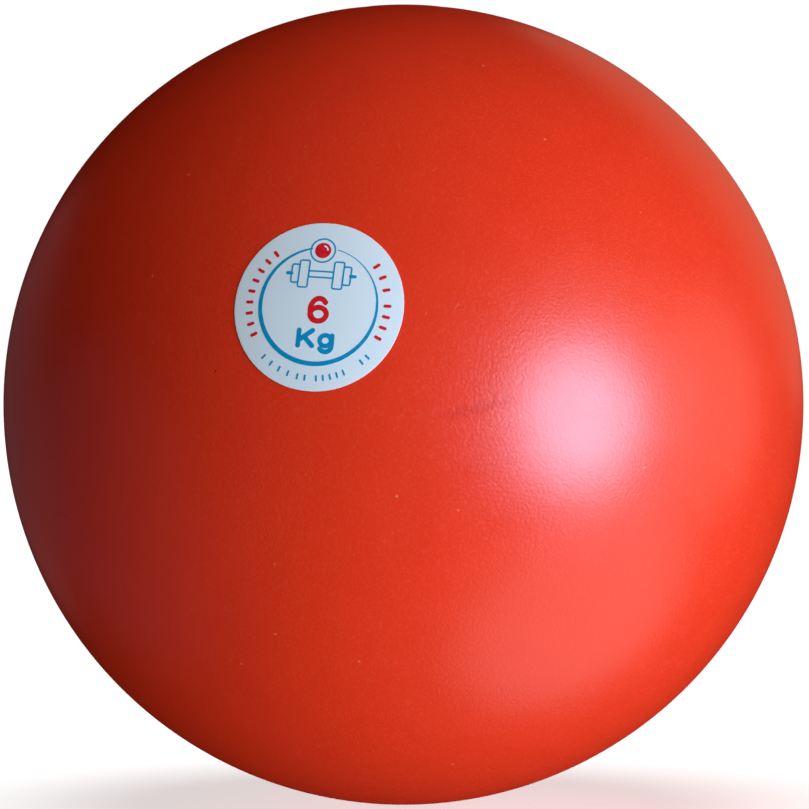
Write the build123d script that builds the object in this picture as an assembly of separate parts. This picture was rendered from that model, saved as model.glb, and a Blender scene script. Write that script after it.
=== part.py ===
from build123d import *
import math
import os

# Medicine ball, 6 kg: a moulded PVC skin, partly filled with gel, with a valve on top and a label in front.
# The origin is the centre of the ball, +Z runs up through the valve, and -Y is the front.
# Everything is in millimetres.

# Skin
BALL_RADIUS = 115.0
WALL = 5.0
PARTING_EDGE = 0.4          # rounding where the valve's recess breaks the outside of the skin

# Valve hole in the skin, and the boss that thickens the skin round it on the inside
BOSS_RADIUS = 12.0
BOSS_BOTTOM = 97.0          # height of the boss's lower face above the ball's centre
BOSS_ROOT_ROUND = 4.0
BOSS_LIP_ROUND = 1.0
HOLE_RADIUS = 8.0
RECESS_RADIUS = 9.5
RECESS_FLOOR = 112.8

# Rubber seat, pushed through the hole until its inner flange snaps out under the boss
GLUE_GAP = 0.05             # radial room between the seat and the skin
LOCK_RADIUS = 10.2
LOCK_HEIGHT = 1.4
LOCK_TIP_RADIUS = 7.0
LOCK_TIP_HEIGHT = 1.6
SEAT_EDGE_ROUND = 0.3

# Stopper and its bore
BORE_RADIUS = 3.0
RUNNING_GAP = 0.05          # radial clearance of the stopper's ribs in the bore
HEAD_RADIUS = 6.0
HEAD_SIDE_GAP = 0.25
HEAD_FLOOR = 113.3          # where the head's recess in the seat ends
HEAD_SEAT_GAP = 0.05        # the head stops this far above the floor of its recess
HEAD_RIM_DROP = 0.5         # the head is domed, and its rim is this much below its crown
STEM_LENGTH = 15.0
RIB_COUNT = 3
RIB_HEIGHT = 1.4
GROOVE_HEIGHT = 1.8
GROOVE_DEPTH = 0.45
NOSE_RADIUS = 1.6
NOSE_ROUND = 0.6

# Notch beside the head, where a fingernail lifts the stopper
NOTCH_RADIUS = 1.5
NOTCH_REACH = 1.3           # how far the notch reaches out past the head's recess

# Gel filling, with an air cushion above it
FILL_GAP = 0.2
FILL_LEVEL = 67.0

# Label: a disc of thin vinyl, curved to the ball
LABEL_DIAMETER = 45.0
LABEL_THICKNESS = 0.2
LABEL_ELEVATION = 13.0      # degrees above the ball's equator
LABEL_TURN = 11.5           # degrees from the front towards -X

INNER_RADIUS = BALL_RADIUS - WALL


def sphere_height(sphere_radius, distance):
    """Height of a sphere's upper half at a distance from the Z axis."""
    return math.sqrt(sphere_radius**2 - distance**2)


def turned(edges):
    """Solid of revolution about Z, from edges that close an outline in the XZ plane."""
    return revolve(make_face(edges), Axis.Z)


def arc_about_centre(sphere_radius, start, end):
    """Arc of a great circle in the XZ plane, between two angles from +X in degrees."""
    return Plane.XZ * CenterArc((0, 0), sphere_radius, start, end - start)


def path(*points):
    """Straight edges in the XZ plane through (distance, height) points."""
    return Plane.XZ * Polyline(*points)


def angle_at(sphere_radius, distance):
    """Angle from +X, in degrees, of the point on a sphere at a distance from Z."""
    return math.degrees(math.acos(distance / sphere_radius))


def make_shell():
    """The moulded skin: a hollow sphere, with a boss inside round the valve's stepped hole."""
    outside_end = angle_at(BALL_RADIUS, RECESS_RADIUS)
    inside_end = angle_at(INNER_RADIUS, BOSS_RADIUS)
    hole = path(
        (RECESS_RADIUS, sphere_height(BALL_RADIUS, RECESS_RADIUS)),
        (RECESS_RADIUS, RECESS_FLOOR),
        (HOLE_RADIUS, RECESS_FLOOR),
        (HOLE_RADIUS, BOSS_BOTTOM),
        (BOSS_RADIUS, BOSS_BOTTOM),
        (BOSS_RADIUS, sphere_height(INNER_RADIUS, BOSS_RADIUS)),
    )
    outline = make_face(
        arc_about_centre(BALL_RADIUS, -90, outside_end).edges()
        + hole.edges()
        + arc_about_centre(INNER_RADIUS, -90, inside_end).edges()
        + path((0, -BALL_RADIUS), (0, -INNER_RADIUS)).edges()
    )
    outline = round_corner(outline, BOSS_RADIUS, sphere_height(INNER_RADIUS, BOSS_RADIUS), BOSS_ROOT_ROUND)
    outline = round_corner(outline, BOSS_RADIUS, BOSS_BOTTOM, BOSS_LIP_ROUND)
    outline = round_corner(outline, RECESS_RADIUS, sphere_height(BALL_RADIUS, RECESS_RADIUS), PARTING_EDGE)
    return revolve(outline, Axis.Z)


def round_corner(outline, distance, height, radius):
    """Round the corner of an outline in the XZ plane that is nearest to a point."""
    point = Vector(distance, 0, height)
    corner = outline.vertices().sort_by_distance(point)[0]
    return fillet(corner, radius)


def make_valve_seat():
    """The rubber insert: outer flange, body through the hole, snap-in inner flange, and the stopper's bore."""
    flange_radius = RECESS_RADIUS - GLUE_GAP
    body_radius = HOLE_RADIUS - GLUE_GAP
    head_recess_radius = HEAD_RADIUS + HEAD_SIDE_GAP
    lock_top = BOSS_BOTTOM
    lock_side = lock_top - LOCK_HEIGHT
    seat_bottom = lock_side - LOCK_TIP_HEIGHT
    flange_top = sphere_height(BALL_RADIUS, flange_radius)
    recess_top = sphere_height(BALL_RADIUS, head_recess_radius)
    sides = path(
        (head_recess_radius, recess_top),
        (head_recess_radius, HEAD_FLOOR),
        (BORE_RADIUS, HEAD_FLOOR),
        (BORE_RADIUS, seat_bottom),
        (LOCK_TIP_RADIUS, seat_bottom),
        (LOCK_RADIUS, lock_side),
        (LOCK_RADIUS, lock_top),
        (body_radius, lock_top),
        (body_radius, RECESS_FLOOR),
        (flange_radius, RECESS_FLOOR),
        (flange_radius, flange_top),
    )
    crown = arc_about_centre(
        BALL_RADIUS, angle_at(BALL_RADIUS, flange_radius), angle_at(BALL_RADIUS, head_recess_radius)
    )
    outline = make_face(sides.edges() + crown.edges())
    outline = round_corner(outline, flange_radius, flange_top, SEAT_EDGE_ROUND)
    outline = round_corner(outline, head_recess_radius, recess_top, SEAT_EDGE_ROUND)
    notch_height = BALL_RADIUS - HEAD_FLOOR
    notch_centre = head_recess_radius + NOTCH_REACH - NOTCH_RADIUS
    notch = Pos(0, -notch_centre, HEAD_FLOOR) * Cylinder(
        NOTCH_RADIUS, notch_height, align=(Align.CENTER, Align.CENTER, Align.MIN)
    )
    return revolve(outline, Axis.Z) - notch


def make_valve_plug():
    """The stopper: a domed head, a stem with sealing ribs that fit the bore, and a tapered nose."""
    head_bottom = HEAD_FLOOR + HEAD_SEAT_GAP
    rib_radius = BORE_RADIUS - RUNNING_GAP
    groove_radius = rib_radius - GROOVE_DEPTH
    stem_bottom = head_bottom - STEM_LENGTH
    points = [(HEAD_RADIUS, BALL_RADIUS - HEAD_RIM_DROP), (HEAD_RADIUS, head_bottom)]
    height = head_bottom
    for _ in range(RIB_COUNT):
        points.append((groove_radius, height))
        height -= GROOVE_HEIGHT
        points.append((groove_radius, height))
        points.append((rib_radius, height))
        height -= RIB_HEIGHT
        points.append((rib_radius, height))
    points.append((groove_radius, height))
    points.append((NOSE_RADIUS, stem_bottom))
    points.append((0, stem_bottom))
    points.append((0, BALL_RADIUS))
    dome = Plane.XZ * ThreePointArc(*dome_points())
    outline = make_face(path(*points).edges() + dome.edges())
    outline = round_corner(outline, NOSE_RADIUS, stem_bottom, NOSE_ROUND)
    outline = round_corner(outline, HEAD_RADIUS, BALL_RADIUS - HEAD_RIM_DROP, SEAT_EDGE_ROUND)
    return revolve(outline, Axis.Z)


def dome_points():
    """Crown, a point between, and rim of the head's domed top, as (distance, height)."""
    dome_radius = (HEAD_RADIUS**2 + HEAD_RIM_DROP**2) / (2 * HEAD_RIM_DROP)
    middle = HEAD_RADIUS / 2
    middle_drop = dome_radius - sphere_height(dome_radius, middle)
    return (0, BALL_RADIUS), (middle, BALL_RADIUS - middle_drop), (HEAD_RADIUS, BALL_RADIUS - HEAD_RIM_DROP)


def make_gel_filling():
    """The gel: it fills the skin up to a level surface, under the air cushion."""
    fill_radius = INNER_RADIUS - FILL_GAP
    surface_radius = sphere_height(fill_radius, FILL_LEVEL)
    round_side = arc_about_centre(fill_radius, -90, angle_at(fill_radius, surface_radius))
    middle = path((surface_radius, FILL_LEVEL), (0, FILL_LEVEL), (0, -fill_radius))
    return turned(round_side.edges() + middle.edges())


def make_label():
    """The label: a disc of even thickness on the sphere, made about +Z and then tipped to the front."""
    half_angle = math.degrees(math.asin(LABEL_DIAMETER / 2 / BALL_RADIUS))
    edge_angle = 90 - half_angle
    outer_radius = BALL_RADIUS + LABEL_THICKNESS
    edge = math.radians(edge_angle)
    edges = (
        arc_about_centre(BALL_RADIUS, edge_angle, 90).edges()
        + arc_about_centre(outer_radius, edge_angle, 90).edges()
        + path((0, BALL_RADIUS), (0, outer_radius)).edges()
        + path(
            (BALL_RADIUS * math.cos(edge), BALL_RADIUS * math.sin(edge)),
            (outer_radius * math.cos(edge), outer_radius * math.sin(edge)),
        ).edges()
    )
    return Rot(0, 0, -LABEL_TURN) * Rot(90 - LABEL_ELEVATION, 0, 0) * turned(edges)


PARTS = {
    "shell": make_shell,
    "valve_seat": make_valve_seat,
    "valve_plug": make_valve_plug,
    "gel_filling": make_gel_filling,
    "label": make_label,
}

os.makedirs("parts", exist_ok=True)
for name, make in PARTS.items():
    solid = make()
    export_step(solid, f"parts/{name}.step")
    print(name, round(solid.volume), "mm3")
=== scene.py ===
import math

import bmesh
import bpy
from mathutils import Matrix, Vector, noise


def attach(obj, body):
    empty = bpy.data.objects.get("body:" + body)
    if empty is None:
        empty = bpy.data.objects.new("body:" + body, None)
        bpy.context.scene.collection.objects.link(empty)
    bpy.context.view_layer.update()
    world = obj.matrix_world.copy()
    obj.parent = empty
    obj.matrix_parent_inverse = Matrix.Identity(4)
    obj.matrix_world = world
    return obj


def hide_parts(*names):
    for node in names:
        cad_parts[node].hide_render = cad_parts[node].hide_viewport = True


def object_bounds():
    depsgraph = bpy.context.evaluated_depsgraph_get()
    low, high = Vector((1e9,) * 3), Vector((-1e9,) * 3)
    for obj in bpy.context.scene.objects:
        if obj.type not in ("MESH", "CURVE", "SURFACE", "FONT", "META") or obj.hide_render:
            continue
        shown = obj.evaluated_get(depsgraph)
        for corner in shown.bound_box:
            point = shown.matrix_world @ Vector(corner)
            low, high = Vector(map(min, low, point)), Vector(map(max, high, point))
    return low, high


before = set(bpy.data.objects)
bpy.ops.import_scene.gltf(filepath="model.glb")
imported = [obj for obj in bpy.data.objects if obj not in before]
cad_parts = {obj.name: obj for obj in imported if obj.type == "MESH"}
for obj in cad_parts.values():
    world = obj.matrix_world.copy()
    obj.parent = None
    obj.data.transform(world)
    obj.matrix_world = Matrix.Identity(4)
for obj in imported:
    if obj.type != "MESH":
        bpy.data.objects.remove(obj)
CAD_LOW, CAD_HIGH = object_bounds()

# Everything below is in metres, in the frame's own axes: +Z up through the valve, -Y the front.
MM = 0.001
BALL_RADIUS = min(CAD_HIGH.x, -CAD_LOW.x, CAD_HIGH.y, -CAD_LOW.y)
FLOOR_HEIGHT = CAD_LOW.z

# Camera: level with the ball's centre, far enough for a long lens, with the ball almost filling the frame.
CAMERA_DISTANCE = 1.0522
FRAME_FILL = 0.9893         # the ball's outline across the frame, as a fraction of its width
FRAME_SHIFT = (0.0013, 0.0003)
SENSOR_WIDTH = 36.0


# Mesh helpers

def new_object(name, mesh):
    """A new object in the scene, at the origin, with that mesh."""
    made = bpy.data.objects.new(name, mesh)
    bpy.context.scene.collection.objects.link(made)
    return made


def mesh_from_bmesh(name, work):
    """The bmesh as a smooth-shaded mesh datablock, with its normals pointing out."""
    bmesh.ops.recalc_face_normals(work, faces=work.faces)
    mesh = bpy.data.meshes.new(name)
    work.to_mesh(mesh)
    work.free()
    for polygon in mesh.polygons:
        polygon.use_smooth = True
    return mesh


def corner_arc(before, corner, after, radius, steps):
    """Points that round one corner of a profile, from one leg to the other."""
    corner = Vector(corner)
    leg_in = Vector(before) - corner
    leg_out = Vector(after) - corner
    reach = min(radius, 0.45 * leg_in.length, 0.45 * leg_out.length)
    start = corner + leg_in.normalized() * reach
    end = corner + leg_out.normalized() * reach
    points = []
    for step in range(steps + 1):
        t = step / steps
        points.append(start * (1 - t) ** 2 + corner * 2 * t * (1 - t) + end * t**2)
    return points


CORNER_STEPS = 4


def rounded(corners):
    """A profile of (distance, height, rounding) corners as plain points; the first and last stay sharp."""
    points = [Vector(corners[0][:2])]
    for before, here, after in zip(corners, corners[1:], corners[2:]):
        if here[2] > 0:
            points += corner_arc(before[:2], here[:2], after[:2], here[2], CORNER_STEPS)
        else:
            points.append(Vector(here[:2]))
    points.append(Vector(corners[-1][:2]))
    return points


def sphere_arc(radius, start, end, steps):
    """Points of a circle about the origin in (distance, height), between two angles above the equator."""
    points = []
    for step in range(steps + 1):
        angle = math.radians(start + (end - start) * step / steps)
        points.append(Vector((radius * math.cos(angle), radius * math.sin(angle))))
    return points


def even_turns(count):
    """Equal angles round the Z axis, in radians."""
    return [math.tau * index / count for index in range(count)]


def lathe(name, profile, turns, closed=False, adjust=None):
    """A mesh turned about Z from (distance, height) points, with a column of vertices at each of the turns.

    A point on the axis becomes one vertex. A closed profile joins its last point to its first.
    adjust(point) may move each vertex.
    """
    work = bmesh.new()
    rings = []
    for distance, height in profile:
        if distance < 1e-9:
            ring = [work.verts.new((0, 0, height))]
        else:
            ring = []
            for turn in turns:
                ring.append(work.verts.new((distance * math.cos(turn), distance * math.sin(turn), height)))
        rings.append(ring)
    pairs = list(zip(rings, rings[1:]))
    if closed:
        pairs.append((rings[-1], rings[0]))
    for lower, upper in pairs:
        for segment in range(len(turns)):
            following = (segment + 1) % len(turns)
            if len(lower) == 1:
                work.faces.new((lower[0], upper[following], upper[segment]))
            elif len(upper) == 1:
                work.faces.new((lower[segment], lower[following], upper[0]))
            else:
                work.faces.new((lower[segment], lower[following], upper[following], upper[segment]))
    if adjust:
        for vertex in work.verts:
            vertex.co = adjust(vertex.co)
    return mesh_from_bmesh(name, work)


# The skin

SKIN_SEGMENTS = 336
SKIN_RINGS = 150
WALL = 5.0 * MM
RECESS_RADIUS = 9.5 * MM
RECESS_FLOOR = 112.8 * MM
HOLE_RADIUS = 8.0 * MM
BOSS_RADIUS = 12.0 * MM
BOSS_BOTTOM = 97.0 * MM
VALVE_AREA = 79.0           # degrees above the equator where the closer rings round the valve start
DISH_REACH = 21.0 * MM      # the skin sinks a little towards the valve, as it does over a thick boss
DISH_DEPTH = 0.15 * MM
BEAD_RADIUS = 12.8 * MM     # the raised ring that the mould leaves round the valve
BEAD_HALF_WIDTH = 0.8 * MM
BEAD_HEIGHT = 0.2 * MM
WAVE_DEPTH = 0.035 * MM     # how far the soft skin's surface wanders inward from a true sphere
SEAM_DEPTH = 0.07 * MM      # the trimmed mould line, in the plane through the valve and both sides
SEAM_HALF_WIDTH = 0.45 * MM
CALM_RADIUS = 14 * MM       # within this distance of the valve's axis the skin doesn't wander,
WAVY_RADIUS = 30 * MM       # and beyond this one it wanders fully
WAVE_SCALE = 28             # the two sizes of the wander, as noise cells per metre
RIPPLE_SCALE = 62
RIPPLE_SHIFT = Vector((5, 3, 1))
SEAM_OFFSETS = (-0.24, -0.11, 0.11, 0.24)   # degrees from the mould line to the closer columns beside it


def smooth_step(low, high, value):
    """0 below low, 1 above high, and a smooth rise between."""
    t = min(max((value - low) / (high - low), 0), 1)
    return t * t * (3 - 2 * t)


def skin_profile():
    """Outside of the ball, the stepped valve hole, the boss and the inside of the ball, from pole to pole."""
    inner_radius = BALL_RADIUS - WALL
    rim_angle = math.degrees(math.acos(RECESS_RADIUS / BALL_RADIUS))
    root_angle = math.degrees(math.acos(BOSS_RADIUS / inner_radius))
    outside = sphere_arc(BALL_RADIUS, -90, VALVE_AREA, SKIN_RINGS)
    outside += sphere_arc(BALL_RADIUS, VALVE_AREA, rim_angle, 44)[1:]
    inside = sphere_arc(inner_radius, root_angle, -90, 42)
    hole = rounded([
        (*outside[-4], 0),
        (*outside[-1], 0.4 * MM),
        (RECESS_RADIUS, RECESS_FLOOR, 0.3 * MM),
        (HOLE_RADIUS, RECESS_FLOOR, 0.3 * MM),
        (HOLE_RADIUS, BOSS_BOTTOM, 0.3 * MM),
        (BOSS_RADIUS, BOSS_BOTTOM, 1.0 * MM),
        (*inside[0], 4.0 * MM),
        (*inside[1], 0),
    ])
    outside[0].x = 0
    inside[-1].x = 0
    return outside[:-4] + hole + inside[2:]


def skin_turns():
    """The skin's columns, with closer ones on both sides of the mould line."""
    turns = even_turns(SKIN_SEGMENTS)
    for side in (0, math.pi):
        for offset in SEAM_OFFSETS:
            turns.append((side + math.radians(offset)) % math.tau)
    return sorted(turns)


def skin_shape(point):
    """Moves a point of a true sphere's outside to where the moulded skin is."""
    if point.length < BALL_RADIUS - 0.3 * MM:
        return point
    distance = math.hypot(point.x, point.y)
    near_valve = 1 - smooth_step(CALM_RADIUS, WAVY_RADIUS, distance) if point.z > 0 else 0
    wander = noise.noise(point * WAVE_SCALE) * 0.6 + noise.noise(point * RIPPLE_SCALE + RIPPLE_SHIFT) * 0.4
    sink = WAVE_DEPTH * (0.5 + 0.5 * wander) * (1 - near_valve)
    sink += SEAM_DEPTH * max(0, 1 - abs(point.y) / SEAM_HALF_WIDTH) * (1 - near_valve)
    if point.z > 0:
        sink += DISH_DEPTH * (1 - smooth_step(BEAD_RADIUS, DISH_REACH, distance))
        from_bead = abs(distance - BEAD_RADIUS) / BEAD_HALF_WIDTH
        if from_bead < 1:
            sink -= BEAD_HEIGHT * (0.5 + 0.5 * math.cos(math.pi * from_bead))
    return point - point.normalized() * sink


def make_skin():
    """The ball's skin, with its valve hole."""
    skin = new_object("ball_skin", lathe("ball_skin", skin_profile(), skin_turns(), adjust=skin_shape))
    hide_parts("shell")
    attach(skin, "ball")
    return skin


# The valve: a rubber seat in the skin's hole, and its stopper

FLANGE_RADIUS = 9.45 * MM
SEAT_BODY_RADIUS = 7.95 * MM
LOCK_RADIUS = 10.2 * MM
LOCK_SIDE = 95.6 * MM
LOCK_TIP_RADIUS = 7.0 * MM
SEAT_BOTTOM = 94.0 * MM
BORE_RADIUS = 3.0 * MM
HEAD_RECESS_RADIUS = 6.25 * MM
HEAD_FLOOR = 113.3 * MM
NOTCH_RADIUS = 1.5 * MM
NOTCH_CENTRE = 6.05 * MM
NOTCH_FADE = (6.7 * MM, 8.0 * MM)   # the notch's push on the seat dies away between these radii
CROWN_GROOVE = 8.3 * MM     # radius of the fine ring pressed into the seat's outer face
CROWN_GROOVE_HALF_WIDTH = 0.3 * MM
CROWN_GROOVE_DEPTH = 0.16 * MM
HEAD_RADIUS = 6.0 * MM
HEAD_BOTTOM = 113.35 * MM
HEAD_TOP = 114.99 * MM
HEAD_RIM_DROP = 0.5 * MM
STEM_BOTTOM = 98.35 * MM
RIB_RADIUS = 2.95 * MM
STEM_RADIUS = 2.5 * MM
NOSE_RADIUS = 1.6 * MM
RIB_TOPS = (111.55 * MM, 108.35 * MM, 105.15 * MM)
RIB_HEIGHT = 1.4 * MM
GATE_RADIUS = 0.8 * MM      # the small pit where the plastic entered the stopper's mould
GATE_DEPTH = 0.12 * MM
HEAD_RING = 0.56            # where the head's fine ring is, as a share of the head's radius


def on_ball(distance, drop=0.0):
    """A profile corner on the ball's outside, or that much below it."""
    return distance, math.sqrt(BALL_RADIUS**2 - distance**2) - drop


def notched(point):
    """Pushes the wall of the head's recess out, on the -Y side, into the notch for a fingernail."""
    distance = math.hypot(point.x, point.y)
    if point.y >= 0 or point.z < HEAD_FLOOR - 0.2 * MM or distance < HEAD_RECESS_RADIUS - 0.3 * MM:
        return point
    turn = math.atan2(point.x, -point.y)
    inside = NOTCH_RADIUS**2 - (NOTCH_CENTRE * math.sin(turn)) ** 2
    if inside <= 0:
        return point
    reach = NOTCH_CENTRE * math.cos(turn) + math.sqrt(inside) - HEAD_RECESS_RADIUS
    if reach <= 0:
        return point
    fade = 1 - smooth_step(*NOTCH_FADE, distance)
    moved = distance + reach * fade
    height = point.z
    if point.z > HEAD_FLOOR + 0.6 * MM:
        height += math.sqrt(BALL_RADIUS**2 - moved**2) - math.sqrt(BALL_RADIUS**2 - distance**2)
    return Vector((point.x * moved / distance, point.y * moved / distance, height))


def make_valve_seat():
    """The rubber seat: outer flange, body, inner lock, bore, and the recess for the stopper's head."""
    groove = CROWN_GROOVE
    half = CROWN_GROOVE_HALF_WIDTH
    profile = rounded([
        (*on_ball(7.2 * MM), 0),
        (*on_ball(6.9 * MM), 0),
        (*on_ball(HEAD_RECESS_RADIUS), 0.3 * MM),
        (HEAD_RECESS_RADIUS, HEAD_FLOOR, 0.2 * MM),
        (BORE_RADIUS, HEAD_FLOOR, 0.3 * MM),
        (BORE_RADIUS, SEAT_BOTTOM, 0.3 * MM),
        (LOCK_TIP_RADIUS, SEAT_BOTTOM, 0.5 * MM),
        (LOCK_RADIUS, LOCK_SIDE, 0.4 * MM),
        (LOCK_RADIUS, BOSS_BOTTOM, 0.3 * MM),
        (SEAT_BODY_RADIUS, BOSS_BOTTOM, 0.2 * MM),
        (SEAT_BODY_RADIUS, RECESS_FLOOR, 0.2 * MM),
        (FLANGE_RADIUS, RECESS_FLOOR, 0.2 * MM),
        (*on_ball(FLANGE_RADIUS), 0.3 * MM),
        (*on_ball(groove + half), 0.1 * MM),
        (*on_ball(groove, CROWN_GROOVE_DEPTH), 0.1 * MM),
        (*on_ball(groove - half), 0.1 * MM),
        (*on_ball(7.6 * MM), 0),
    ])
    mesh = lathe("seat_insert", profile, even_turns(192), closed=True, adjust=notched)
    seat = new_object("seat_insert", mesh)
    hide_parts("valve_seat")
    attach(seat, "ball")
    return seat


def make_valve_plug():
    """The stopper: a tapered nose, a ribbed stem and a domed head."""
    corners = [(0, STEM_BOTTOM, 0), (NOSE_RADIUS, STEM_BOTTOM, 0.6 * MM)]
    for top in reversed(RIB_TOPS):
        corners += [
            (STEM_RADIUS, top - RIB_HEIGHT, 0.15 * MM),
            (RIB_RADIUS, top - RIB_HEIGHT, 0.3 * MM),
            (RIB_RADIUS, top, 0.3 * MM),
            (STEM_RADIUS, top, 0.15 * MM),
        ]
    corners += [
        (STEM_RADIUS, HEAD_BOTTOM, 0.25 * MM),
        (HEAD_RADIUS, HEAD_BOTTOM, 0.2 * MM),
        (HEAD_RADIUS, HEAD_TOP - HEAD_RIM_DROP, 0.35 * MM),
    ]
    for share in (0.9, 0.8, 0.7, 0.62):
        corners.append((HEAD_RADIUS * share, HEAD_TOP - HEAD_RIM_DROP * share**2, 0))
    ring = HEAD_RADIUS * HEAD_RING
    drop = HEAD_RIM_DROP * HEAD_RING**2
    corners += [
        (ring + 0.2 * MM, HEAD_TOP - drop, 0.08 * MM),
        (ring, HEAD_TOP - drop - 0.1 * MM, 0.08 * MM),
        (ring - 0.2 * MM, HEAD_TOP - drop, 0.08 * MM),
    ]
    for share in (0.42, 0.32, 0.24):
        corners.append((HEAD_RADIUS * share, HEAD_TOP - HEAD_RIM_DROP * share**2, 0))
    corners += [
        (GATE_RADIUS + 0.1 * MM, HEAD_TOP - 0.01 * MM, 0.08 * MM),
        (GATE_RADIUS, HEAD_TOP - GATE_DEPTH, 0.08 * MM),
        (0, HEAD_TOP - GATE_DEPTH, 0),
    ]
    plug = new_object("stopper", lathe("stopper", rounded(corners), even_turns(128)))
    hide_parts("valve_plug")
    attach(plug, "plug")
    return plug


# The gel inside

GEL_GAP = 0.25 * MM
GEL_EDGE = 67.0 * MM        # height of the gel where it climbs the skin
GEL_LEVEL = 65.9 * MM       # height of its level surface
GEL_CLIMB_WIDTH = 9 * MM    # how far in from the skin the climb is modelled
GEL_CLIMB_FALL = 1.9 * MM   # distance in which the climb falls to about a third
GEL_CLIMB_STEPS = 12


def make_gel():
    """The gel: the ball's inside up to a level surface, which curves up where it meets the skin."""
    radius = BALL_RADIUS - WALL - GEL_GAP
    edge_angle = math.degrees(math.asin(GEL_EDGE / radius))
    edge_distance = math.sqrt(radius**2 - GEL_EDGE**2)
    profile = sphere_arc(radius, -90, edge_angle, 64)
    profile[0].x = 0
    for step in range(1, GEL_CLIMB_STEPS + 1):
        inward = GEL_CLIMB_WIDTH * (step / GEL_CLIMB_STEPS) ** 1.6
        climb = (GEL_EDGE - GEL_LEVEL) * math.exp(-inward / GEL_CLIMB_FALL)
        profile.append(Vector((edge_distance - inward, GEL_LEVEL + climb)))
    for share in (0.75, 0.5, 0.25, 0.0):
        profile.append(Vector((edge_distance * share, GEL_LEVEL)))
    gel = new_object("gel_body", lathe("gel_body", profile, even_turns(144)))
    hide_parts("gel_filling")
    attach(gel, "ball")
    return gel


# The label

LABEL_THICKNESS = 0.2 * MM
LABEL_DIAMETER = 45.0 * MM
LABEL_EDGE_ROUND = 0.09 * MM
LABEL_ELEVATION = 13.0      # degrees above the ball's equator
LABEL_TURN = 11.5           # degrees from the front towards -X
LABEL_TWIST = -4.0          # degrees that its print leans, clockwise
INK_THICKNESS = 0.03 * MM
INK_SINK = 0.02 * MM        # how far the print's underside lies inside the vinyl
INK_STEP = 0.003 * MM       # how far each stroke of a piece of print stands above the one before


def to_label():
    """Rotation that takes +Z to the label's middle and local +Y to the label's upright."""
    turn = Matrix.Rotation(math.radians(-LABEL_TURN), 4, "Z")
    tip = Matrix.Rotation(math.radians(90 - LABEL_ELEVATION), 4, "X")
    twist = Matrix.Rotation(math.radians(LABEL_TWIST), 4, "Z")
    return turn @ tip @ twist


def make_label():
    """The round vinyl label: a thin disc bent to the ball, with a rounded edge."""
    half_angle = math.degrees(math.asin(LABEL_DIAMETER / 2 / BALL_RADIUS))
    top = sphere_arc(BALL_RADIUS + LABEL_THICKNESS, 90, 90 - half_angle, 32)
    bottom = sphere_arc(BALL_RADIUS - INK_SINK, 90 - half_angle, 90, 16)
    edge = rounded([(*top[-2], 0), (*top[-1], LABEL_EDGE_ROUND), (*bottom[0], 0)])
    top[0].x = 0
    bottom[-1].x = 0
    label = new_object("label_disc", lathe("label_disc", top[:-2] + edge + bottom[1:], even_turns(192)))
    label.data.transform(to_label())
    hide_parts("label")
    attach(label, "ball")
    return label


# The print on the label. It is laid out flat, in millimetres from the label's middle, x to the right and
# y up, and then wrapped onto the ball.

def wrapped(point, lift):
    """A point of the flat layout, in millimetres, on the label's outer face and lifted off it."""
    reach = math.hypot(point.x, point.y) * MM
    angle = reach / BALL_RADIUS
    radius = BALL_RADIUS + LABEL_THICKNESS + lift
    if reach == 0:
        return Vector((0, 0, radius))
    across = radius * math.sin(angle) / (reach / MM)
    return Vector((point.x * across, point.y * across, radius * math.cos(angle)))


def ellipse_arc(centre, radii, start, end, steps):
    """Points of an ellipse between two angles in degrees."""
    points = []
    for step in range(steps + 1):
        angle = math.radians(start + (end - start) * step / steps)
        x = centre[0] + radii[0] * math.cos(angle)
        y = centre[1] + radii[1] * math.sin(angle)
        points.append(Vector((x, y)))
    return points


def line(start, end, steps=8):
    """Points from start to end, both included."""
    return [Vector(start).lerp(Vector(end), step / steps) for step in range(steps + 1)]


def disc(work, centre, radius, around):
    """A filled circle in the flat layout."""
    middle = work.verts.new((*centre, 0))
    inner = None
    for share in (0.5, 1.0):
        circle = ellipse_arc(centre, (radius * share, radius * share), 0, 360, around)[:-1]
        rim = [work.verts.new((*point, 0)) for point in circle]
        for index in range(around):
            following = (index + 1) % around
            if inner is None:
                work.faces.new((middle, rim[index], rim[following]))
            else:
                work.faces.new((inner[index], rim[index], rim[following], inner[following]))
        inner = rim


def stroke(work, points, widths, closed=False, caps=True):
    """A band along points in the flat layout. widths is one number, or one for each point."""
    if not hasattr(widths, "__len__"):
        widths = [widths] * len(points)
    count = len(points)
    left, right, ways = [], [], []
    for index, point in enumerate(points):
        before = points[index - 1] if closed or index else point
        after = points[(index + 1) % count] if closed or index < count - 1 else point
        way = (after - before).normalized()
        side = Vector((-way.y, way.x)) * widths[index] / 2
        left.append(work.verts.new((*(point + side), 0)))
        right.append(work.verts.new((*(point - side), 0)))
        ways.append(way)
    last = count if closed else count - 1
    for index in range(last):
        following = (index + 1) % count
        work.faces.new((left[index], right[index], right[following], left[following]))
    if caps and not closed:
        round_cap(work, points[0], -ways[0], right[0], left[0], widths[0] / 2)
        round_cap(work, points[-1], ways[-1], left[-1], right[-1], widths[-1] / 2)


def round_cap(work, centre, way, first, last, radius, steps=10):
    """Half a disc that ends a band, from its first to its last corner; way points out of the band."""
    middle = work.verts.new((*centre, 0))
    heading = math.atan2(way.y, way.x) + math.pi / 2
    rim = [first]
    for step in range(1, steps):
        angle = heading - math.pi * step / steps
        x = centre.x + radius * math.cos(angle)
        y = centre.y + radius * math.sin(angle)
        rim.append(work.verts.new((x, y, 0)))
    rim.append(last)
    for here, following in zip(rim, rim[1:]):
        work.faces.new((middle, here, following))
    work.faces.new((middle, last, first))


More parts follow.
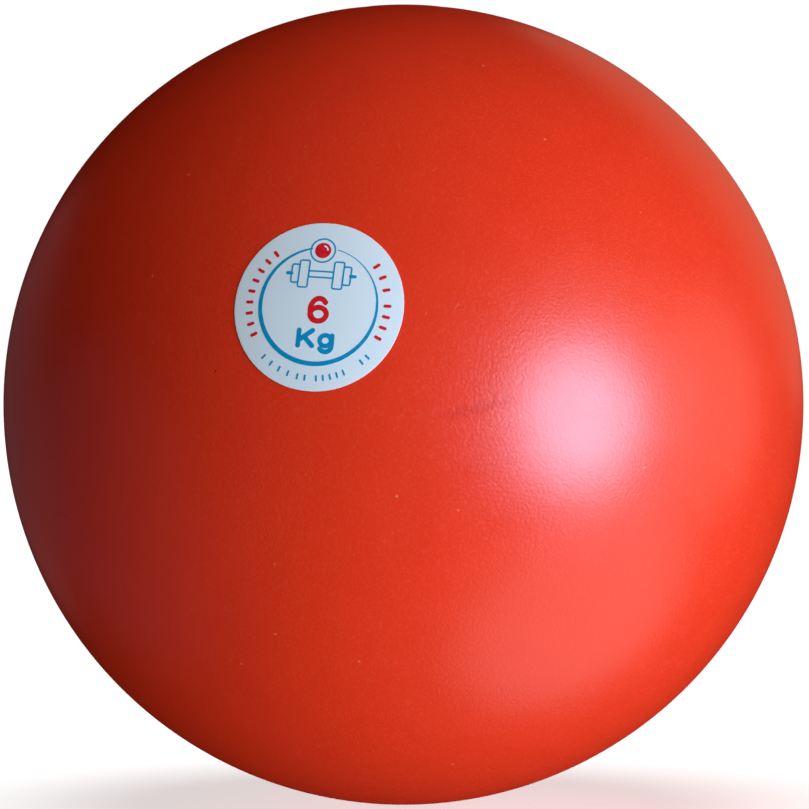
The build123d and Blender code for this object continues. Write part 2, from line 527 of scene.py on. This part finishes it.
def solid_layout(work):
    """Gives the flat layout a thickness, from 0 to 1, as a closed solid with clean corners."""
    bmesh.ops.remove_doubles(work, verts=work.verts, dist=1e-5)
    bmesh.ops.recalc_face_normals(work, faces=work.faces)
    for face in work.faces:
        if face.normal.z < 0:
            face.normal_flip()
    extruded = bmesh.ops.extrude_face_region(work, geom=work.faces[:])
    for item in extruded["geom"]:
        if isinstance(item, bmesh.types.BMVert):
            item.co.z = 1


def printed(name, solids, lift=0.0):
    """A piece of print: closed flat solids, wrapped onto the label.

    Where they cross, each lies on the last.
    """
    together = bmesh.new()
    for index, work in enumerate(solids):
        solid_layout(work)
        for vertex in work.verts:
            top = INK_THICKNESS + index * INK_STEP + lift
            vertex.co = wrapped(vertex.co, top if vertex.co.z > 0.5 else lift - INK_SINK)
        mesh = mesh_from_bmesh("stroke", work)
        together.from_mesh(mesh)
        bpy.data.meshes.remove(mesh)
    piece = new_object(name, mesh_from_bmesh(name, together))
    for polygon in piece.data.polygons:
        polygon.use_smooth = False
    piece.data.transform(to_label())
    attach(piece, "ball")
    return piece


def layout(draw, *args, **kwargs):
    """A new flat layout with one drawn shape in it."""
    work = bmesh.new()
    draw(work, *args, **kwargs)
    return work


# Measures of the print, in millimetres of the flat layout
RING_OUTER = ((0.05, -0.2), 15.9)       # centre and radius of the crescent ring's two edges
RING_INNER = ((0.3, 0.25), 15.17)
RING_STEPS = 180
BADGE_CENTRE = (-0.35, 14.8)
BADGE_RADIUS = 3.25
BADGE_LINE = 0.42
BADGE_BALL_RADIUS = 2.15
GLINT_RADIUS = 1.25
GLINT_LINE = 0.4
OUTLINE = 0.44              # line width of the dumbbell's outline
BOX_ROUND = 0.5
NUMERAL_LINE = 1.42


def make_ring():
    """The crescent ring: a band between two circles that aren't concentric, open at the top for the badge."""
    points, widths = [], []
    (outer_centre, outer_radius), (inner_centre, inner_radius) = RING_OUTER, RING_INNER
    gap = math.degrees(math.asin((BADGE_RADIUS + BADGE_LINE / 2) / outer_radius))
    start = 90 + gap
    for step in range(RING_STEPS + 1):
        angle = math.radians(start + (360 - 2 * gap) * step / RING_STEPS)
        way = Vector((math.cos(angle), math.sin(angle)))
        outer = Vector(outer_centre) + way * outer_radius
        inner = Vector(inner_centre) + way * inner_radius
        points.append((outer + inner) / 2)
        widths.append((outer - inner).length)
    return printed("print_ring", [layout(stroke, points, widths, caps=False)])


def make_badge():
    """A plain round badge over the ring's gap: a thin circle with a small shining ball in it."""
    circle = ellipse_arc(BADGE_CENTRE, (BADGE_RADIUS, BADGE_RADIUS), 0, 360, 72)[:-1]
    outline = printed("print_badge_circle", [layout(stroke, circle, BADGE_LINE, closed=True)])
    ball = printed("print_badge_ball", [layout(disc, BADGE_CENTRE, BADGE_BALL_RADIUS, 48)])
    shine = ellipse_arc(BADGE_CENTRE, (GLINT_RADIUS, GLINT_RADIUS), 10, 80, 12)
    glint = printed("print_badge_glint", [layout(stroke, shine, GLINT_LINE)], INK_THICKNESS)
    return outline, ball, glint


def rounded_box(low, high, radius):
    """Points round a rectangle with rounded corners."""
    points = []
    left, right = low[0] + radius, high[0] - radius
    bottom, top = low[1] + radius, high[1] - radius
    corners = [(right, top, 0), (left, top, 90), (left, bottom, 180), (right, bottom, 270)]
    for x, y, angle in corners:
        corner = ellipse_arc((x, y), (radius, radius), angle, angle + 90, 6)
        if points:
            points += line(points[-1], corner[0], 10)[1:-1]
        points += corner
    return points + line(points[-1], points[0], 10)[1:-1]


def make_dumbbell():
    """An outlined dumbbell, as a plain sign for weight training."""
    boxes = [
        ((-3.3, 7.35), (3.3, 9.0)),
        ((-5.9, 4.5), (-3.3, 11.85)),
        ((3.3, 4.5), (5.9, 11.85)),
        ((-7.9, 5.7), (-5.9, 10.65)),
        ((5.9, 5.7), (7.9, 10.65)),
    ]
    shapes = []
    for low, high in boxes:
        shapes.append(layout(stroke, rounded_box(low, high, BOX_ROUND), OUTLINE, closed=True))
    for side in (-1, 1):
        shapes.append(layout(stroke, line((side * 7.9, 8.18), (side * 9.0, 8.18)), 0.9))
    return printed("print_dumbbell", shapes)


def make_numeral():
    """The figure 6: one long curve down the left side, and the bowl."""
    back = ellipse_arc((0.55, -1.3), (2.2, 3.0), 42, 262, 48)
    bowl = ellipse_arc((0.6, -2.5), (2.15, 1.8), 0, 360, 48)[:-1]
    strokes = [layout(stroke, back, NUMERAL_LINE), layout(stroke, bowl, NUMERAL_LINE, closed=True)]
    return printed("print_numeral", strokes)


def make_unit():
    """The unit Kg, in the same rounded hand."""
    weight = 1.28
    stem = line((-3.95, -6.95), (-3.95, -10.95))
    arm = line((-3.6, -9.35), (-0.35, -6.85))
    leg = line((-2.55, -8.5), (-0.2, -10.85))
    bowl = ellipse_arc((3.25, -9.3), (1.5, 1.4), 0, 360, 40)[:-1]
    hook = line((4.95, -7.95), (4.95, -10.6)) + ellipse_arc((3.35, -10.75), (1.6, 1.45), -10, -150, 20)
    strokes = [layout(stroke, points, weight) for points in (stem, arm, leg, hook)]
    return printed("print_unit", strokes + [layout(stroke, bowl, 1.2, closed=True)])


def arc_marks(name, marks, radius, height, width):
    """A row of plain upright marks along an arc, where words would stand. marks are angles in degrees."""
    shapes = []
    for angle in marks:
        way = Vector((math.cos(math.radians(angle)), math.sin(math.radians(angle))))
        reach = (height - width) / 2
        shapes.append(layout(stroke, line(way * (radius - reach), way * (radius + reach), 3), width))
    return printed(name, shapes)


def spread(start, end, count):
    """Evenly spaced angles from start to end."""
    return [start + (end - start) * index / (count - 1) for index in range(count)]


def make_print():
    """Everything printed on the label: the pieces in teal, in red and in white."""
    outline, ball, glint = make_badge()
    red_marks = spread(208, 134, 9) + spread(39, 17, 3) + spread(3.5, -24, 4)
    teal_marks = spread(228, 252, 4) + spread(260, 266, 2) + spread(275, 297, 5) + spread(313, 319, 2)
    teal = [make_ring(), outline, make_dumbbell(), make_unit(),
            arc_marks("print_lower_marks", teal_marks, 19.3, 1.65, 0.5)]
    red = [ball, make_numeral(), arc_marks("print_side_marks", red_marks, 18.4, 2.1, 0.85)]
    return teal, red, [glint]


# Materials

def new_material(name):
    """A material with a Principled shader; returns the material, its node tree and the shader node."""
    material = bpy.data.materials.new(name)
    material.use_nodes = True
    tree = material.node_tree
    return material, tree, tree.nodes["Principled BSDF"]


def node(tree, kind, inputs=None, **settings):
    """A new node; inputs are socket names or numbers with a value or another node's output socket."""
    made = tree.nodes.new(kind)
    for setting, value in settings.items():
        setattr(made, setting, value)
    for socket, value in (inputs or {}).items():
        if isinstance(value, bpy.types.NodeSocket):
            tree.links.new(value, made.inputs[socket])
        else:
            made.inputs[socket].default_value = value
    return made


def object_points(tree):
    """The surface point in the piece's own axes, in metres."""
    return node(tree, "ShaderNodeTexCoord").outputs["Object"]


def noise_field(tree, points, size, detail=2.0, roughness=0.5, distortion=0.0):
    """Soft noise from 0 to 1 whose features are about size metres across."""
    return node(tree, "ShaderNodeTexNoise", {
        "Vector": points, "Scale": 0.5 / size,
        "Detail": detail, "Roughness": roughness, "Distortion": distortion,
    }).outputs["Fac"]


def ranged(tree, value, low, high, to_low=0.0, to_high=1.0):
    """The value mapped smoothly from low..high to to_low..to_high, and held at the ends."""
    return node(tree, "ShaderNodeMapRange", {
        "Value": value, "From Min": low, "From Max": high, "To Min": to_low, "To Max": to_high,
    }, interpolation_type="SMOOTHSTEP").outputs["Result"]


def maths(tree, operation, first, second=0.0):
    """One arithmetic step on two values."""
    return node(tree, "ShaderNodeMath", {0: first, 1: second}, operation=operation).outputs["Value"]


def blended(tree, factor, first, second):
    """A colour between two colours."""
    return node(tree, "ShaderNodeMix", {0: factor, 6: first, 7: second}, data_type="RGBA").outputs[2]


def bumped(tree, heights):
    """A normal bent by (height, depth in metres) fields, one after the other."""
    normal = None
    for height, depth in heights:
        inputs = {"Height": height, "Distance": depth, "Strength": 1.0}
        if normal is not None:
            inputs["Normal"] = normal
        normal = node(tree, "ShaderNodeBump", inputs).outputs["Normal"]
    return normal


def specks(tree, points, spacing, share, radius, seed):
    """1 in small round spots: about share of the cells, which are spacing metres apart, have one."""
    moved = node(tree, "ShaderNodeVectorMath", {0: points, 1: seed}, operation="ADD").outputs["Vector"]
    cells = node(tree, "ShaderNodeTexVoronoi", {"Vector": moved, "Scale": 1 / spacing})
    near = ranged(tree, cells.outputs["Distance"], radius / spacing * 0.4, radius / spacing, 1.0, 0.0)
    pick = node(tree, "ShaderNodeSeparateColor", {"Color": cells.outputs["Color"]}).outputs["Red"]
    chosen = maths(tree, "LESS_THAN", pick, share)
    return maths(tree, "MULTIPLY", near, chosen)


# The ball's radius for the flat layout, a little large so that no point's height is beyond it
LAYOUT_RADIUS = BALL_RADIUS * 1.01


def spread_flat(tree, points):
    """The ball's surface laid out flat: metres round the equator and metres up from it."""
    split = node(tree, "ShaderNodeSeparateXYZ", {"Vector": points})
    around = maths(tree, "ARCTAN2", split.outputs["X"], maths(tree, "MULTIPLY", split.outputs["Y"], -1.0))
    up = maths(tree, "ARCSINE", maths(tree, "DIVIDE", split.outputs["Z"], LAYOUT_RADIUS))
    return node(tree, "ShaderNodeCombineXYZ", {
        "X": maths(tree, "MULTIPLY", around, BALL_RADIUS), "Y": maths(tree, "MULTIPLY", up, BALL_RADIUS),
    }).outputs["Vector"]


def scratches(tree, flat, spacing, width, share, seed):
    """1 along short, thin, curved lines in the points' x and y; share is how much of them shows."""
    moved = node(tree, "ShaderNodeVectorMath", {0: flat, 1: seed}, operation="ADD").outputs["Vector"]
    bend = node(tree, "ShaderNodeTexNoise", {"Vector": moved, "Scale": 0.5 / spacing, "Detail": 1.0})
    shift = node(tree, "ShaderNodeVectorMath", {0: bend.outputs["Color"], "Scale": spacing * 1.8},
                 operation="SCALE")
    bent = node(tree, "ShaderNodeVectorMath", {0: moved, 1: shift.outputs["Vector"]}, operation="ADD")
    cells = node(tree, "ShaderNodeTexVoronoi", {"Vector": bent.outputs["Vector"], "Scale": 1 / spacing},
                 feature="DISTANCE_TO_EDGE", voronoi_dimensions="2D")
    line_mask = ranged(tree, cells.outputs["Distance"], 0.0, width / spacing, 1.0, 0.0)
    where = noise_field(tree, moved, spacing * 0.35, detail=1.0)
    return maths(tree, "MULTIPLY", line_mask, ranged(tree, where, 1 - share, 1 - share + 0.05))


def scuff_and_shade(tree, flat, place, tilt, half_length, half_width):
    """1 in a short soft streak on points laid out flat, at a place and tilted by an angle."""
    ragged = noise_field(tree, flat, 1.5 * MM, detail=3.0)
    split = node(tree, "ShaderNodeSeparateXYZ", {"Vector": flat})
    east = maths(tree, "SUBTRACT", split.outputs["X"], place[0])
    north = maths(tree, "SUBTRACT", split.outputs["Y"], place[1])
    across = maths(tree, "SUBTRACT", maths(tree, "MULTIPLY", north, math.cos(tilt)),
                   maths(tree, "MULTIPLY", east, math.sin(tilt)))
    across = maths(tree, "ADD", across, ranged(tree, ragged, 0.2, 0.8, -0.5 * half_width, 0.5 * half_width))
    fade = ranged(tree, maths(tree, "ABSOLUTE", east), half_length * 0.3, half_length, 1.0, 0.0)
    band = ranged(tree, maths(tree, "ABSOLUTE", across), 0.0, half_width, 1.0, 0.0)
    return maths(tree, "MULTIPLY", fade, band)


GRAIN_SIZE = 0.4 * MM       # the skin's fine orange peel
GRAIN_DEPTH = 0.06 * MM
GRAIN_PAINTED_SHEEN = 0.08           # how much paler its tops are painted, as painted sheen on the grain
GRAIN_GLOSS = 0.05          # how much duller its tops are
SKIN_GLOSS = (0.280, 0.300)     # its roughness, kept above the 0.274 where the denoiser left blotches
SKIN_IOR = 1.65             # chosen for its looks; plain PVC is nearer 1.5


def skin_material():
    """Soft moulded PVC: deep red, satin, with a fine grain whose paler tops are painted sheen, tiny specks, a
    few scratches, and a scuffed crease whose darker colour is painted shade.
    """
    material, tree, shader = new_material("moulded_pvc")
    points = object_points(tree)
    flat = spread_flat(tree, points)
    broad = noise_field(tree, points, 55 * MM, detail=2.0)
    fine = noise_field(tree, points, 5 * MM, detail=3.0)
    grain = noise_field(tree, points, GRAIN_SIZE, detail=2.0, roughness=0.6)
    tone = maths(tree, "ADD", maths(tree, "MULTIPLY", broad, 0.6), maths(tree, "MULTIPLY", fine, 0.4))
    body = blended(tree, ranged(tree, tone, 0.3, 0.7), (0.87, 0.038, 0.0088, 1), (0.91, 0.042, 0.0102, 1))
    pale = specks(tree, points, 8 * MM, 0.45, 0.5 * MM, (0.3, 0.1, 0.7))
    dark = specks(tree, points, 13 * MM, 0.4, 0.42 * MM, (0.6, 0.9, 0.2))
    marks = scratches(tree, flat, 7 * MM, 0.14 * MM, 0.33, (0.15, 0.45, 0.05))
    streak = scuff_and_shade(tree, flat, (18 * MM, -1 * MM), 0.24, 13 * MM, 2.2 * MM)
    # Painted sheen: the grain itself is real, and its tops are painted paler as if they caught the light.
    body = blended(tree, ranged(tree, grain, 0.5, 0.75, 0.0, GRAIN_PAINTED_SHEEN), body, (0.95, 0.20, 0.16, 1))
    body = blended(tree, maths(tree, "MULTIPLY", pale, 0.75), body, (0.95, 0.22, 0.10, 1))
    body = blended(tree, maths(tree, "MULTIPLY", dark, 0.75), body, (0.22, 0.01, 0.006, 1))
    body = blended(tree, maths(tree, "MULTIPLY", marks, 0.25), body, (0.95, 0.20, 0.12, 1))
    # Painted shade: along the scuffed crease the colour is painted darker, standing in for the dimmer gloss
    # there.
    body = blended(tree, maths(tree, "MULTIPLY", streak, 0.30), body, (0.60, 0.012, 0.006, 1))
    tree.links.new(body, shader.inputs["Base Color"])
    gloss = ranged(tree, fine, 0.3, 0.7, *SKIN_GLOSS)
    gloss = maths(tree, "ADD", gloss, ranged(tree, grain, 0.4, 0.7, 0.0, GRAIN_GLOSS))
    gloss = maths(tree, "ADD", gloss, maths(tree, "MULTIPLY", marks, 0.08))
    tree.links.new(gloss, shader.inputs["Roughness"])
    shader.inputs["IOR"].default_value = SKIN_IOR
    crease = maths(tree, "SUBTRACT", 1.0, streak)
    tree.links.new(bumped(tree, [(grain, GRAIN_DEPTH), (crease, 0.04 * MM)]), shader.inputs["Normal"])
    return material


def label_material():
    """Smooth white vinyl, a little uneven, with specks of dirt, and pinkish along its cut edge."""
    material, tree, shader = new_material("printed_vinyl")
    points = object_points(tree)
    tone = noise_field(tree, points, 6 * MM, detail=4.0, roughness=0.6)
    body = blended(tree, ranged(tree, tone, 0.3, 0.7), (0.80, 0.87, 0.84, 1), (0.82, 0.89, 0.86, 1))
    dirt = specks(tree, points, 5 * MM, 0.3, 0.18 * MM, (0.4, 0.2, 0.6))
    body = blended(tree, maths(tree, "MULTIPLY", dirt, 0.4), body, (0.40, 0.36, 0.36, 1))
    middle = to_label() @ Vector((0, 0, 1))
    along = node(tree, "ShaderNodeVectorMath", {0: points, 1: middle}, operation="DOT_PRODUCT")
    height = BALL_RADIUS * math.cos(math.asin(LABEL_DIAMETER / 2 / BALL_RADIUS))
    rim = ranged(tree, along.outputs["Value"], height + 0.02 * MM, height + 0.15 * MM, 1.0, 0.0)
    body = blended(tree, maths(tree, "MULTIPLY", rim, 0.8), body, (0.88, 0.55, 0.58, 1))
    tree.links.new(body, shader.inputs["Base Color"])
    gloss = ranged(tree, noise_field(tree, points, 3 * MM, detail=3.0), 0.3, 0.7, 0.36, 0.44)
    tree.links.new(gloss, shader.inputs["Roughness"])
    ripple = noise_field(tree, points, 2.5 * MM, detail=1.0)
    grain = noise_field(tree, points, 0.25 * MM, detail=1.0)
    tree.links.new(bumped(tree, [(ripple, 0.01 * MM), (grain, 0.003 * MM)]), shader.inputs["Normal"])
    return material


def ink_material(name, thin, full):
    """Screen-printed ink, a little uneven in strength."""
    material, tree, shader = new_material(name)
    points = object_points(tree)
    cover = noise_field(tree, points, 0.5 * MM, detail=3.0, roughness=0.65)
    body = blended(tree, ranged(tree, cover, 0.25, 0.6), thin, full)
    tree.links.new(body, shader.inputs["Base Color"])
    gloss = ranged(tree, cover, 0.3, 0.7, 0.46, 0.38)
    tree.links.new(gloss, shader.inputs["Roughness"])
    shader.inputs["Specular IOR Level"].default_value = 0.25
    tree.links.new(bumped(tree, [(cover, 0.004 * MM)]), shader.inputs["Normal"])
    return material


def rubber_material():
    """Matt black rubber with a fine grain and faint paler patches."""
    material, tree, shader = new_material("valve_rubber")
    points = object_points(tree)
    tone = noise_field(tree, points, 1.4 * MM, detail=4.0, roughness=0.6)
    body = blended(tree, ranged(tree, tone, 0.35, 0.75), (0.020, 0.020, 0.022, 1), (0.045, 0.044, 0.046, 1))
    tree.links.new(body, shader.inputs["Base Color"])
    tree.links.new(ranged(tree, tone, 0.3, 0.7, 0.48, 0.62), shader.inputs["Roughness"])
    grain = noise_field(tree, points, 0.22 * MM, detail=2.0)
    tree.links.new(bumped(tree, [(grain, 0.02 * MM)]), shader.inputs["Normal"])
    return material


def plug_material():
    """Off-white moulded plastic, satin, with faint flow marks and scuffs from fingernails."""
    material, tree, shader = new_material("stopper_plastic")
    points = object_points(tree)
    flow = noise_field(tree, points, 2.5 * MM, detail=3.0, distortion=1.5)
    body = blended(tree, ranged(tree, flow, 0.3, 0.7), (0.74, 0.73, 0.69, 1), (0.82, 0.81, 0.78, 1))
    marks = scratches(tree, points, 3.2 * MM, 0.09 * MM, 0.5, (0.05, 0.15, 0.25))
    body = blended(tree, maths(tree, "MULTIPLY", marks, 0.35), body, (0.45, 0.43, 0.40, 1))
    tree.links.new(body, shader.inputs["Base Color"])
    gloss = maths(tree, "ADD", ranged(tree, flow, 0.3, 0.7, 0.30, 0.38), maths(tree, "MULTIPLY", marks, 0.15))
    tree.links.new(gloss, shader.inputs["Roughness"])
    grain = noise_field(tree, points, 0.3 * MM, detail=2.0)
    tree.links.new(bumped(tree, [(grain, 0.008 * MM), (marks, -0.01 * MM)]), shader.inputs["Normal"])
    return material


def gel_material():
    """Pale blue gel with a wet gloss and small bubbles. It is opaque, because it is hidden in the ball."""
    material, tree, shader = new_material("water_gel")
    points = object_points(tree)
    cloud = noise_field(tree, points, 30 * MM, detail=3.0)
    body = blended(tree, ranged(tree, cloud, 0.3, 0.7), (0.62, 0.74, 0.80, 1), (0.76, 0.85, 0.89, 1))
    bubbles = specks(tree, points, 7 * MM, 0.5, 0.9 * MM, (0.2, 0.5, 0.8))
    body = blended(tree, maths(tree, "MULTIPLY", bubbles, 0.5), body, (0.92, 0.96, 0.98, 1))
    tree.links.new(body, shader.inputs["Base Color"])
    gloss = ranged(tree, noise_field(tree, points, 8 * MM, detail=2.0), 0.3, 0.7, 0.06, 0.12)
    tree.links.new(gloss, shader.inputs["Roughness"])
    shader.inputs["IOR"].default_value = 1.34
    ripple = noise_field(tree, points, 12 * MM, detail=1.0)
    tree.links.new(bumped(tree, [(ripple, 0.15 * MM), (bubbles, 0.1 * MM)]), shader.inputs["Normal"])
    return material


def paint(piece, material):
    """Gives a piece that material and no other."""
    piece.data.materials.clear()
    piece.data.materials.append(material)


# Stage

LIGHT_DISTANCE = 2.4

# The softboxes: name, azimuth and elevation in degrees, width in metres, what it lights, colour and
# power in watts. Azimuth 0 is the camera's side and 90 is +X. The key makes the highlight. Lights that
# would veil the gloss light the body colour only.
SOFTBOXES = [
    ("key", 49, -3, 1.55, "both", (0.49, 0.69, 1.0), 73),
    ("key_wide", 55, 5, 2.8, "both", (1.0, 0.70, 0.60), 14),
    ("side", 95, 0, 1.8, "both", (1.0, 0.90, 0.80), 6),
    ("low", 75, -48, 2.6, "both", (0.9, 0.90, 0.90), 17),
    ("front", 0, 5, 1.8, "body", (1, 1, 1), 10),
    ("top", 10, 70, 1.8, "body", (1, 1, 1), 13),
    ("bounce", 10, -75, 1.8, "body", (1, 1, 1), 18),
    ("left", -95, -20, 3.0, "both", (0.60, 0.60, 1.0), 1.8),
    ("back", 165, 10, 1.8, "body", (1, 1, 1), 30),
    ("back_left", -140, 0, 1.8, "both", (1.0, 0.45, 0.50), 1.2),
    ("back_right", 150, 20, 1.8, "both", (1.0, 0.60, 0.40), 3),
]

FLOOR_LIGHT = 2.6           # the floor's own light from above, in watts per square metre
FLOOR_FILL = 4.6            # and an even light that casts no shadow
FLOOR_SIZE = 60.0
FLOOR_LIGHT_SPREAD = 50     # degrees across, for a soft shadow


def light_object(name, data, pieces):
    """A light that shines on those pieces only."""
    receivers = bpy.data.collections.new(name + "_receivers")
    for piece in pieces:
        receivers.objects.link(piece)
    made = bpy.data.objects.new(name, data)
    bpy.context.scene.collection.objects.link(made)
    made.light_linking.receiver_collection = receivers
    made.visible_camera = False
    return made


def softbox(pieces, name, azimuth, elevation, width, kind, colour, power):
    """A round softbox that faces the ball's centre. Its kind "both" lights the gloss too."""
    data = bpy.data.lights.new(name, "AREA")
    data.shape = "DISK"
    data.size = width
    data.energy = power
    data.color = colour
    data.cycles.use_multiple_importance_sampling = kind == "both"
    made = light_object(name, data, pieces)
    made.visible_glossy = kind == "both"
    a, e = math.radians(azimuth), math.radians(elevation)
    away = Vector((math.sin(a) * math.cos(e), -math.cos(a) * math.cos(e), math.sin(e)))
    made.location = away * LIGHT_DISTANCE
    made.rotation_mode = "QUATERNION"
    made.rotation_quaternion = away.to_track_quat("Z", "Y")


def make_floor():
    """A plain pale floor, with one light that casts the ball's soft shadow and one that casts none."""
    work = bmesh.new()
    bmesh.ops.create_grid(work, x_segments=8, y_segments=8, size=FLOOR_SIZE / 2)
    floor = new_object("floor", mesh_from_bmesh("floor", work))
    floor.location.z = FLOOR_HEIGHT
    material, tree, shader = new_material("pale_floor")
    tone = noise_field(tree, object_points(tree), 0.4, detail=3.0)
    body = blended(tree, ranged(tree, tone, 0.3, 0.7), (0.47, 0.47, 0.47, 1), (0.49, 0.49, 0.49, 1))
    tree.links.new(body, shader.inputs["Base Color"])
    shader.inputs["Roughness"].default_value = 0.9
    shader.inputs["Specular IOR Level"].default_value = 0.0
    paint(floor, material)
    floor.visible_diffuse = False
    floor.visible_glossy = False
    floor.visible_shadow = False
    for name, strength, shadow in (("floor_light", FLOOR_LIGHT, True), ("floor_fill", FLOOR_FILL, False)):
        data = bpy.data.lights.new(name, "SUN")
        data.energy = strength
        data.angle = math.radians(FLOOR_LIGHT_SPREAD)
        data.use_shadow = shadow
        light_object(name, data, [floor])


def make_camera():
    """The camera, level with the ball's centre; its lens is worked out from the ball's share of the frame."""
    data = bpy.data.cameras.new("camera")
    data.sensor_width = SENSOR_WIDTH
    tangent = BALL_RADIUS / math.sqrt(CAMERA_DISTANCE**2 - BALL_RADIUS**2)
    data.lens = SENSOR_WIDTH * FRAME_FILL / 2 / tangent
    data.shift_x, data.shift_y = FRAME_SHIFT
    camera = bpy.data.objects.new("camera", data)
    bpy.context.scene.collection.objects.link(camera)
    camera.location = (0, -CAMERA_DISTANCE, 0)
    camera.rotation_euler = (math.radians(90), 0, 0)
    bpy.context.scene.camera = camera


def make_world():
    """White where the camera looks past the floor; it gives no light of its own."""
    world = bpy.data.worlds.new("studio")
    bpy.context.scene.world = world
    world.use_nodes = True
    tree = world.node_tree
    background = tree.nodes["Background"]
    background.inputs["Color"].default_value = (1, 1, 1, 1)
    path = node(tree, "ShaderNodeLightPath")
    tree.links.new(path.outputs["Is Camera Ray"], background.inputs["Strength"])


skin = make_skin()
seat = make_valve_seat()
plug = make_valve_plug()
gel = make_gel()
label = make_label()
teal_print, red_print, white_print = make_print()

paint(skin, skin_material())
paint(seat, rubber_material())
paint(plug, plug_material())
paint(gel, gel_material())
paint(label, label_material())
teal_ink = ink_material("teal_ink", (0.004, 0.33, 0.54, 1), (0.001, 0.27, 0.47, 1))
red_ink = ink_material("red_ink", (0.80, 0.028, 0.034, 1), (0.74, 0.010, 0.014, 1))
white_ink = ink_material("white_ink", (0.74, 0.80, 0.86, 1), (0.84, 0.88, 0.92, 1))
for piece in teal_print:
    paint(piece, teal_ink)
for piece in red_print:
    paint(piece, red_ink)
for piece in white_print:
    paint(piece, white_ink)

make_camera()
make_world()
make_floor()
pieces = [skin, seat, plug, gel, label, *teal_print, *red_print, *white_print]
for box in SOFTBOXES:
    softbox(pieces, *box)
bpy.context.scene.view_settings.view_transform = "Standard"
